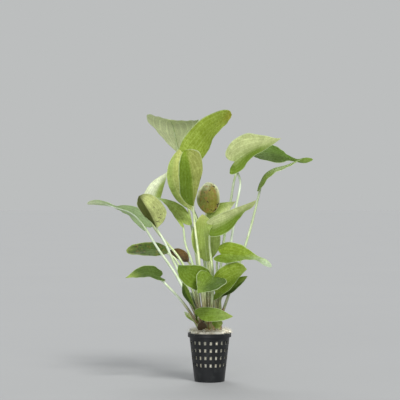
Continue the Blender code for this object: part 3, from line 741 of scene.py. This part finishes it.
def along(route, share):
    """The point at a share of the route's length, and the direction there. It runs straight past the ends."""
    line, lengths = route
    goal = share * lengths[-1]
    n = 0
    while n < len(line) - 2 and lengths[n + 1] < goal:
        n += 1
    step = (line[n + 1] - line[n]) / (lengths[n + 1] - lengths[n])
    before = (line[n] - line[n - 1]).normalized() if n else step
    after = (line[n + 2] - line[n + 1]).normalized() if n < len(line) - 2 else step
    t = min(1, max(0, (goal - lengths[n]) / (lengths[n + 1] - lengths[n])))
    turn = before.lerp(after, 0.5 * t + 0.25) + step
    return line[n] + step * (goal - lengths[n]), turn.normalized()


def frame_at(leaf, route, share):
    """The midrib's point there, the upper side's direction and the way to the right."""
    spot, ahead = along(route, share)
    face = Vector(leaf.face[0]).lerp(Vector(leaf.face[1]), min(1, max(0, share)))
    right = ahead.cross(face).normalized()
    return spot, right.cross(ahead), right


def rib_radius(share):
    """Radius of the midrib at a share of the blade's length."""
    return RIB_TIP_RADIUS + (STALK_TOP_RADIUS - RIB_TIP_RADIUS) * max(0, 1 - share) ** 0.8


def stalk_route(leaf):
    """The line from the crown to the blade's base and on under the blade, and the stalk's own length."""
    x, y = leaf.foot
    foot = Vector((x, y, crown_height(x, y) + FOOT_CLEARANCE))
    rib = smooth_route(leaf.rib)
    spot, face, _ = frame_at(leaf, rib, 0)
    under = BLADE_THICKNESS / 2 + RIB_DEPTH + GAP + STALK_TOP_RADIUS
    top = spot - face * under
    way = leaf.way
    if not way:
        sideways = foot.lerp(top, STALK_LEAN)
        way = ((sideways.x, sideways.y, (foot.z + top.z) / 2),)
    stalk = smooth_route((foot, *way, top))
    keel = []
    for share in RIB_SHARE:
        spot, face, _ = frame_at(leaf, rib, share)
        keel.append(spot - face * (0.1 + KEEL_DROP * rib_radius(share)))
    whole = smooth_route((foot, *way, top, *keel))
    return whole, stalk[1][-1]


def stalk_flesh(name, light):
    """Juicy pale stalk: fine ribs along it, greener in streaks, darker low down as painted shade among the
    crowded stalks, and brown where its foot clasps the crown.
    """
    material, tree, shader, spot = new_finish(name)
    lie = place(tree, "UVMap", uv_map="lie").outputs["UV"]
    length = place(tree, "SeparateXYZ", {"Vector": lie}).outputs["Y"]
    stretched = place(tree, "Mapping", {"Vector": lie, "Scale": (9.0, 5.0, 1.0)}).outputs["Vector"]
    streak = rise(tree, cloud(tree, stretched, 2.5, 4), 0.35, 0.7)
    patch = rise(tree, cloud(tree, spot, 45, 3), 0.4, 0.62)
    flesh = tinted(tree, light, patch, 0.7, tone(150, 176, 98))
    flesh = tinted(tree, flesh, streak, 0.8, tone(236, 242, 220))
    # Painted shade: the lower part of each stalk, down among the others, is darkened.
    foot_shade_tone = place(tree, "HueSaturation", {"Saturation": 1.15, "Value": 0.24, "Color": light}).outputs[0]
    painted_foot_shade = mixed(tree, streak, foot_shade_tone, tone(178, 180, 124))
    flesh = tinted(tree, flesh, rise(tree, length, 0.62, 0.2), 0.8, painted_foot_shade)
    sheath = rise(tree, cloud(tree, stretched, 1.6, 3), 0.44, 0.56)
    withered = mixed(tree, streak, tone(112, 60, 42), tone(190, 150, 104))
    flesh = tinted(tree, flesh, rise(tree, length, 0.5, 0.15), sheath, withered)
    feed(tree, shader, {"Base Color": flesh, "Roughness": 0.34, "Coat Weight": 0.5, "Coat Roughness": 0.18})
    relief(tree, shader, streak, 0.4, 0.0002)
    return material


STALK_TONES = ("celery", "grass", "cream", "ice", "sage", "straw")
STALK_FINISHES = {name: stalk_flesh(f"stalk_{name}", TONES[name]) for name in STALK_TONES}


def make_stalk(name, leaf, node):
    route, stalk_length = stalk_route(leaf)
    whole = route[1][-1]
    rings_count = round(whole / STALK_STEP)
    solid = bmesh.new()
    lie = solid.loops.layers.uv.new("lie")
    rings = []
    reach = Vector((*leaf.foot, 0))
    across = reach.normalized() if reach.length > 1 else Vector((0, -1, 0))
    for n in range(rings_count + 1):
        length = whole * n / rings_count
        spot, ahead = along(route, n / rings_count)
        across = (across - ahead * across.dot(ahead)).normalized()
        beside = ahead.cross(across)
        if length < stalk_length:
            radius = STALK_FOOT_RADIUS + (STALK_TOP_RADIUS - STALK_FOOT_RADIUS) * length / stalk_length
        else:
            radius = rib_radius((length - stalk_length) / (whole - stalk_length))
        foot = max(0, 1 - length / FOOT_LENGTH) ** 2
        ring = []
        for step in range(STALK_SIDES):
            turn = 2 * math.pi * step / STALK_SIDES
            ribbed = radius * (1 + STALK_RIB_DEPTH * math.cos(STALK_RIBS * turn))
            out = across * math.cos(turn) * (1 - 0.15 * foot) + beside * math.sin(turn) * (1 + 0.8 * foot)
            ring.append(solid.verts.new(spot + out * ribbed))
        rings.append(ring)
    for n, (low, high) in enumerate(zip(rings, rings[1:])):
        for step in range(STALK_SIDES):
            after = (step + 1) % STALK_SIDES
            quad = solid.faces.new((low[step], low[after], high[after], high[step]))
            corners = ((step, n), (step + 1, n), (step + 1, n + 1), (step, n + 1))
            for loop, (side, row) in zip(quad.loops, corners):
                loop[lie].uv = (side / STALK_SIDES, row * whole / rings_count * LIE_SCALE)
    close_ends(solid, rings)
    add_piece(name, solid, [STALK_FINISHES[leaf.stalk]], node, sharp=80)


for number, leaf in enumerate(LEAVES, 1):
    make_stalk(f"stalk_{number:02d}", leaf, f"leaf_stalk_{number:02d}")

# Leaf blades
# Broad blades as the plant makes them above the water: a thin, slightly leathery sheet with arching veins
# from the stalk to the tip, a wavy margin with a pale painted highlight along it and a lighter underside.
# Where the two halves differ in tone, the darker one is partly painted shade. The old ones are brown or
# speckled.

BLADE_ROWS = 44
BLADE_COLUMNS = 14
NOTCH_SLOPE = 0.3  # how far the midrib's line is from the blade's hind edge, for its width there
RIPPLES = 9.0  # turn of a margin's waves over the length of the blade, in radians
RIPPLE_SHIFT = 2.5  # of the right margin's waves against the left one's
MARGIN_WAVES = 7  # of the finer waves in each margin
MARGIN_WAVE_DEPTH = 0.45  # against the ripple
QUILT_DEPTH = 0.5
VEINS = (0.27, 0.52, 0.76)  # where the arching veins lie between the midrib and the margin
VEIN_SPREAD = 0.035  # half the width of a vein's pale band, as a share of the blade's half width
VEIN_DEPTH = 0.16
GROOVE_WIDTH = 0.05  # of the hollow along a vein, as a share of the blade's half width
# Above SHARP_FOLD a blade's halves part sharply, as painted light and shade on the two sides of the fold.
SHARP_FOLD = 20  # degrees, from which a blade's two halves differ sharply in colour
UPPER_GLOSS = 0.36
UNDER_GLOSS = 0.45

# Outlines of half a blade, from the stalk round to the tip, as shares of its length and half width.
# Each also starts at the stalk, at 0 and 0, and ends at the tip, at 1 and 0
OUTLINES = {
    "heart": ((-0.07, 0.2), (-0.13, 0.5), (-0.08, 0.82), (0.1, 1), (0.3, 0.97), (0.5, 0.8), (0.7, 0.5),
              (0.86, 0.22)),
    "long_heart": ((-0.06, 0.2), (-0.1, 0.5), (-0.05, 0.82), (0.1, 1), (0.28, 0.92), (0.45, 0.62),
                   (0.6, 0.34), (0.72, 0.2), (0.85, 0.27), (0.94, 0.2)),
    "oval": ((0.04, 0.25), (0.16, 0.65), (0.34, 0.95), (0.5, 1), (0.68, 0.88), (0.84, 0.55), (0.95, 0.22)),
    "wedge": ((0.08, 0.14), (0.25, 0.4), (0.45, 0.72), (0.66, 1), (0.82, 0.92), (0.93, 0.55)),
    "blunt": ((0.03, 0.35), (0.14, 0.78), (0.34, 1), (0.6, 0.98), (0.8, 0.82), (0.94, 0.5)),
    "drawn_out": ((0.06, 0.5), (0.2, 0.9), (0.36, 1), (0.5, 0.72), (0.62, 0.3), (0.74, 0.2), (0.87, 0.32),
                  (0.96, 0.2)),
    "high_wedge": ((0.1, 0.1), (0.3, 0.32), (0.5, 0.6), (0.68, 0.92), (0.8, 1), (0.92, 0.68)),
    "long_blunt": ((0.02, 0.35), (0.12, 0.78), (0.3, 1), (0.5, 0.97), (0.7, 0.82), (0.86, 0.62),
                   (0.96, 0.38)),
    "round_lobe": ((-0.08, 0.25), (-0.1, 0.6), (0, 0.86), (0.2, 1), (0.36, 0.97), (0.55, 0.68),
                   (0.75, 0.36), (0.88, 0.13)),
    "deep_lobe": ((-0.1, 0.15), (-0.17, 0.45), (-0.15, 0.8), (-0.03, 1), (0.1, 0.96), (0.2, 0.82),
                  (0.35, 0.64), (0.5, 0.54), (0.7, 0.4), (0.87, 0.18)),
    "kite": ((0.05, 0.2), (0.25, 0.76), (0.42, 1), (0.66, 0.93), (0.86, 0.7), (0.96, 0.42)),
    "waisted": ((-0.05, 0.3), (0.04, 0.85), (0.2, 1), (0.36, 0.8), (0.5, 0.42), (0.6, 0.18), (0.72, 0.34),
                (0.84, 0.46), (0.94, 0.34)),
    "young": ((0.02, 0.3), (0.3, 0.26), (0.52, 0.3), (0.66, 0.75), (0.78, 1), (0.9, 0.6)),
}


def outline(shape):
    """Points at even steps along half of a blade's outline."""
    flat = smooth_route([(a, b, 0) for a, b in ((0, 0), *OUTLINES[shape], (1, 0))])
    return [along(flat, row / BLADE_ROWS)[0].xy for row in range(BLADE_ROWS + 1)]


def blade_point(leaf, route, side, a, b):
    """A point of the blade's middle surface and the way its upper side looks there.

    a is the share of the length and b of the half width; side is 0 for the left half and 1 for the right.
    """
    spot, face, right = frame_at(leaf, route, a)
    out = right if side else -right
    width = leaf.halves[side]
    fold = math.radians(leaf.fold[side])
    curl = math.radians(leaf.curl[side])
    turn = fold + curl * b
    if abs(curl) < 0.01:
        reach = width * b * math.cos(fold)
        height = width * b * math.sin(fold)
    else:
        reach = width / curl * (math.sin(turn) - math.sin(fold))
        height = width / curl * (math.cos(fold) - math.cos(turn))
    wave = leaf.ripple * b * b * math.sin(RIPPLES * a + RIPPLE_SHIFT * side + leaf.rib[0][2])
    normal = face * math.cos(turn) - out * math.sin(turn)
    return spot + out * reach + face * height + normal * wave, normal


def fill_ramp(ramp, stops):
    """Sets the grey stops of a ramp."""
    elements = ramp.color_ramp.elements
    while len(elements) < len(stops):
        elements.new(1.0)
    for element, (position, grey) in zip(elements, stops):
        element.position = position
        element.color = (grey, grey, grey, 1.0)


def blade_veins(tree, out, length, wander):
    """1 on the midrib, which narrows towards the tip, and nearly so on the arching veins."""
    bands = place(tree, "ValToRGB", {"Fac": calc(tree, "ADD", out, wander)})
    stops = [(0.0, 0.0)]
    for vein in VEINS:
        stops += [(vein - VEIN_SPREAD, 0.0), (vein, 0.75), (vein + VEIN_SPREAD, 0.0)]
    fill_ramp(bands, stops)
    arching = times(tree, bands.outputs[0], rise(tree, length, 1.0, 0.75))
    rib_width = times(tree, calc(tree, "SUBTRACT", 1.05, length), 0.09)
    midrib = rise(tree, calc(tree, "DIVIDE", out, rib_width), 1.0, 0.3)
    return calc(tree, "MAXIMUM", arching, midrib)


def aged(tree, spot, flesh, edge, specks, bleached_tone):
    """Old skin: brown stains, a bleached edge, and dark specks that crowd in places."""
    stain = rise(tree, cloud(tree, spot, 230, 4, 0.5), 0.62 - 0.1 * specks, 0.76 - 0.1 * specks)
    flesh = tinted(tree, flesh, stain, min(0.7, 0.5 * specks), tone(146, 112, 54))
    flesh = tinted(tree, flesh, edge, min(0.9, 0.6 * specks), bleached_tone)
    where = rise(tree, cloud(tree, spot, 70, 2), 0.58 - 0.14 * specks, 0.7 - 0.14 * specks)
    dots = rise(tree, cloud(tree, spot, 330, 3, 0.6), 0.62 - 0.06 * specks, 0.66 - 0.06 * specks)
    return tinted(tree, flesh, times(tree, dots, where), 0.9, tone(52, 42, 26))


def blade_flesh(name, tones, specks, mottling, blend, under=False):
    """Leaf skin: arching veins, a pale margin that is a painted highlight, halves in tones of their own that
    are partly painted light and shade, blotches, and brown specks on the old ones.
    """
    left, right, tip = (TONES[tone_name] for tone_name in tones)
    material, tree, shader, spot = new_finish(name)
    lie = place(tree, "UVMap", uv_map="lie").outputs["UV"]
    parts = place(tree, "SeparateXYZ", {"Vector": lie})
    side = parts.outputs["X"]
    length = parts.outputs["Y"]
    out = calc(tree, "ABSOLUTE", calc(tree, "MULTIPLY_ADD", side, 2.0, -1.0))
    wander = times(tree, calc(tree, "SUBTRACT", cloud(tree, spot, 90, 2), 0.5), 0.07)
    veins = blade_veins(tree, out, length, wander)
    stretched = place(tree, "Mapping", {"Vector": lie, "Scale": (34.0, 2.2, 1.0)}).outputs["Vector"]
    streaks = rise(tree, cloud(tree, stretched, 1.0, 3), 0.45, 0.7)
    cells = place(tree, "TexVoronoi", {"Vector": spot, "Scale": 420.0}, feature="DISTANCE_TO_EDGE")
    net = rise(tree, cells.outputs["Distance"], 0.09, 0.0)
    blotch = rise(tree, cloud(tree, spot, 75, 4, 0.4), 0.38, 0.66)
    mottle = rise(tree, cloud(tree, spot, 360, 5, 0.4), 0.4, 0.64)
    grain = cloud(tree, spot, 1400, 2)

    # Painted light and shade: each half has its own tone, the half turned from the light often the darker.
    strayed_side = calc(tree, "ADD", side, times(tree, wander, 2.0))
    flesh = mixed(tree, rise(tree, strayed_side, 0.5 - blend, 0.5 + blend), left, right)
    flesh = tinted(tree, flesh, rise(tree, length, 0.7, 1.0), 0.9, tip)
    deeper = place(tree, "HueSaturation", {"Saturation": 1.12, "Value": 0.6, "Color": flesh}).outputs[0]
    flesh = tinted(tree, flesh, blotch, 0.3 if under else 0.5, deeper)
    flesh = tinted(tree, flesh, mottle, mottling, deeper)
    flesh = tinted(tree, flesh, streaks, 0.3, deeper)
    lighter = place(tree, "HueSaturation", {"Saturation": 0.85, "Value": 1.5, "Color": flesh}).outputs[0]
    flesh = tinted(tree, flesh, veins, 0.75 if under else 0.6, lighter)
    flesh = tinted(tree, flesh, net, 0.3, lighter)
    if specks:
        edge = times(tree, rise(tree, out, 0.72, 0.96), rise(tree, length, 0.35, 0.75))
        flesh = aged(tree, spot, flesh, edge, specks, tip)
    # Painted highlight: a pale line along the margin.
    flesh = tinted(tree, flesh, rise(tree, out, 0.93, 0.99), 0.6, tone(206, 220, 180))

    gloss = calc(tree, "MULTIPLY_ADD", grain, 0.2, UNDER_GLOSS if under else UPPER_GLOSS)
    feed(tree, shader, {"Base Color": flesh, "Roughness": gloss, "Specular IOR Level": 0.35})
    height = calc(tree, "ADD", times(tree, veins, 0.8 if under else -0.8), grain)
    height = calc(tree, "SUBTRACT", height, times(tree, net, 0.5))
    relief(tree, shader, height, 0.35, 0.0003)

    glow = place(tree, "BsdfTranslucent", {"Color": flesh})
    through = place(tree, "MixShader", {0: 0.3, 1: shader.outputs[0], 2: glow.outputs[0]})
    feed(tree, tree.nodes["Material Output"], {"Surface": through.outputs[0]})
    return material


def blade_finishes(name, leaf):
    """The upper side's skin and the underside's. Pale leaves are less mottled, folded ones sharply parted
    into a half painted lit and a half painted in shade.
    """
    left, right, tip, under = leaf.tones.split()
    under_tip = tip if tip == "milk" else under
    mottling = 0.4 if leaf.slot == "leaf_pale" else 0.65
    blend = 0.12 if max(leaf.fold) >= SHARP_FOLD else 0.3
    upper_skin = blade_flesh(f"{name}_upper", (left, right, tip), leaf.specks, mottling, blend)
    under_tones = (under, under, under_tip)
    under_skin = blade_flesh(f"{name}_under", under_tones, leaf.specks / 2, mottling / 2, blend, under=True)
    return [upper_skin, under_skin]


def make_blade(name, leaf, thickness, node):
    route = smooth_route(leaf.rib)
    edges = [outline(shape) for shape in leaf.shape.split()]
    starts = [
        max(0, (left.x + right.x - NOTCH_SLOPE * (left.y + right.y)) / 2) for left, right in zip(*edges)
    ]
    phase = leaf.rib[0][0] * 0.7
    solid = bmesh.new()
    lie = solid.loops.layers.uv.new("lie")
    for side in (0, 1):
        skins = ([], [])
        for row, (start, (a, b)) in enumerate(zip(starts, edges[side])):
            lines = ([], [])
            swing = math.sin(MARGIN_WAVES * 2 * math.pi * row / BLADE_ROWS + phase)
            faded = min(1, 6 * min(row, BLADE_ROWS - row) / BLADE_ROWS)
            for column in range(BLADE_COLUMNS + 1):
                out = column / BLADE_COLUMNS
                spot, normal = blade_point(leaf, route, side, start + (a - start) * out, b * out)
                if row == 0 or column == 0:
                    normal = frame_at(leaf, route, start)[1]
                wave = MARGIN_WAVE_DEPTH * leaf.ripple * out**3 * swing
                quilt = noise.noise(spot * 0.16) * QUILT_DEPTH * out
                hollows = sum(math.exp(-(((out - vein) / GROOVE_WIDTH) ** 2)) for vein in VEINS)
                spot = spot + normal * faded * (wave + quilt - hollows * VEIN_DEPTH)
                on_edge = column == BLADE_COLUMNS or row in (0, BLADE_ROWS)
                half = 0 if on_edge else thickness / 2 * (1 - 0.6 * out**2)
                lines[0].append(solid.verts.new(spot + normal * half))
                lines[1].append(solid.verts.new(spot - normal * half))
            for skin, line in zip(skins, lines):
                skin.append(line)
        for which, skin in enumerate(skins):
            for row, (near, far) in enumerate(zip(skin, skin[1:])):
                for column in range(BLADE_COLUMNS):
                    quad = solid.faces.new((near[column], near[column + 1], far[column + 1], far[column]))
                    quad.material_index = which
                    corners = ((row, column), (row, column + 1), (row + 1, column + 1), (row + 1, column))
                    for loop, (r, c) in zip(quad.loops, corners):
                        sideways = c / BLADE_COLUMNS * (1 if side else -1)
                        loop[lie].uv = (0.5 + 0.5 * sideways, r / BLADE_ROWS)
    add_piece(name, solid, blade_finishes(name, leaf), node, sharp=75)


for number, leaf in enumerate(LEAVES, 1):
    make_blade(f"blade_{number:02d}", leaf, BLADE_THICKNESS, f"leaf_blade_{number:02d}")

# Young leaves
# New leaves that are still rolled up around their midrib. Blade and stalk are one growth here, the lower
# half only a pale narrow sheath, and the blade opens towards the tip.

YOUNG_THICKNESS = 1.2
YOUNG_SHAPE = "young young"
YOUNG_FOLD = (20, 20)
YOUNG_CURL = (10, 10)
YOUNG_RIPPLE = 0.2
YOUNG_LEAVES = (
    # 1, pale and folded, under leaf 12
    (((12, -9, 65), (13, -14, 104), (17, -19, 134), (34, -21, 148)), ((0, -1, 0), (0, -0.9, 0.4)),
     (5, 4), "cream celery cream cream"),
    # 2, narrow, left
    (((-13.8, -3.6, 65), (-20, -16, 94), (-28, -20, 108), (-33, -22, 125)), ((0, -1, 0), (0, -1, 0.2)),
     (5, 5), "moss grass grass celery"),
    # 3, left, further back
    (((-9, 13.4, 64), (-13, 18, 84), (-18, 21, 98), (-26, 23, 109)), ((0, -1, 0), (0, -1, 0.2)),
     (7, 7), "moss moss ice celery"),
    # 4, the smallest, low left
    (((-11.6, -11.6, 64), (-17, -16, 73), (-24, -19, 80), (-31.5, -20, 88)), ((0, -1, 0), (0, -1, 0.2)),
     (3, 3), "celery cream ice celery"),
)

for number, (rib, face, halves, tones) in enumerate(YOUNG_LEAVES, 1):
    leaf = Leaf(rib, face, halves, YOUNG_SHAPE, YOUNG_FOLD, YOUNG_CURL, YOUNG_RIPPLE, foot=rib[0], way=(),
                slot="leaf_pale", tones=tones)
    make_blade(f"young_{number:02d}", leaf, YOUNG_THICKNESS, f"young_leaf_{number:02d}")

# Studio
# A plain pale floor, even light from all round, a soft lamp above on the right, a weaker one low in
# front and another high behind. The camera looks level at the plant, as the photograph does.

PIXEL = 1.241  # millimetres at the pot's axis
CAMERA_DISTANCE = 1.8
CAMERA_PLACE = (-0.0118, -CAMERA_DISTANCE, 0.2246)
SENSOR = 36.0
PICTURE_WIDTH = 400 * PIXEL * MM
FLOOR_SIZE = 60.0
BACKDROP = tone(188, 190, 190)


def pale_floor():
    material, tree, shader, spot = new_finish("pale_floor")
    pale = mixed(tree, cloud(tree, spot, 3, 2), tone(152, 154, 157), tone(154, 156, 159))
    feed(tree, shader, {"Base Color": pale, "Roughness": 0.9, "Specular IOR Level": 0.0})
    return material


def make_floor():
    half = FLOOR_SIZE / 2
    mesh = bpy.data.meshes.new("floor")
    corners = [(-half, -half, 0), (half, -half, 0), (half, half, 0), (-half, half, 0)]
    mesh.from_pydata(corners, [], [(0, 1, 2, 3)])
    mesh.materials.append(pale_floor())
    add_object("floor", mesh)


def add_lamp(name, comes_from, softness, power, colour):
    """A lamp so far off that its light is even, softness being its width in degrees."""
    lamp = bpy.data.lights.new(name, "SUN")
    lamp.angle = math.radians(softness)
    lamp.energy = power
    lamp.color = colour
    holder = add_object(name, lamp)
    holder.rotation_euler = (-Vector(comes_from)).to_track_quat("-Z", "Y").to_euler()


def make_backdrop():
    """Soft light from all round, and a plain pale backdrop that meets the floor in the same colour."""
    world = bpy.data.worlds.new("studio")
    world.use_nodes = True
    tree = world.node_tree
    light = tree.nodes["Background"]
    feed(tree, light, {"Color": (1.0, 1.0, 0.98, 1), "Strength": 0.5})
    seen = place(tree, "Background", {"Color": BACKDROP, "Strength": 1.0})
    rays = place(tree, "LightPath").outputs["Is Camera Ray"]
    shown = place(tree, "MixShader", {0: rays, 1: light.outputs[0], 2: seen.outputs[0]})
    feed(tree, tree.nodes["World Output"], {"Surface": shown.outputs[0]})
    bpy.context.scene.world = world


def make_camera():
    """A camera as far off as the picture's width asks, looking level along the pot's front."""
    camera = bpy.data.cameras.new("camera")
    camera.sensor_width = SENSOR
    camera.lens = SENSOR * CAMERA_DISTANCE / PICTURE_WIDTH
    viewer = add_object("camera", camera)
    viewer.location = CAMERA_PLACE
    viewer.rotation_euler = (math.pi / 2, 0, 0)
    bpy.context.scene.camera = viewer


make_floor()
make_backdrop()
add_lamp("key_lamp", (0.4, -0.85, 1.0), 18, 2.7, (1.0, 0.98, 0.93))
add_lamp("front_lamp", (-0.3, -1.0, 0.12), 35, 1.5, (0.98, 0.99, 1.0))
add_lamp("back_lamp", (-0.2, 0.8, 1.2), 30, 1.4, (1.0, 1.0, 0.97))
make_camera()
bpy.context.scene.view_settings.view_transform = "Standard"
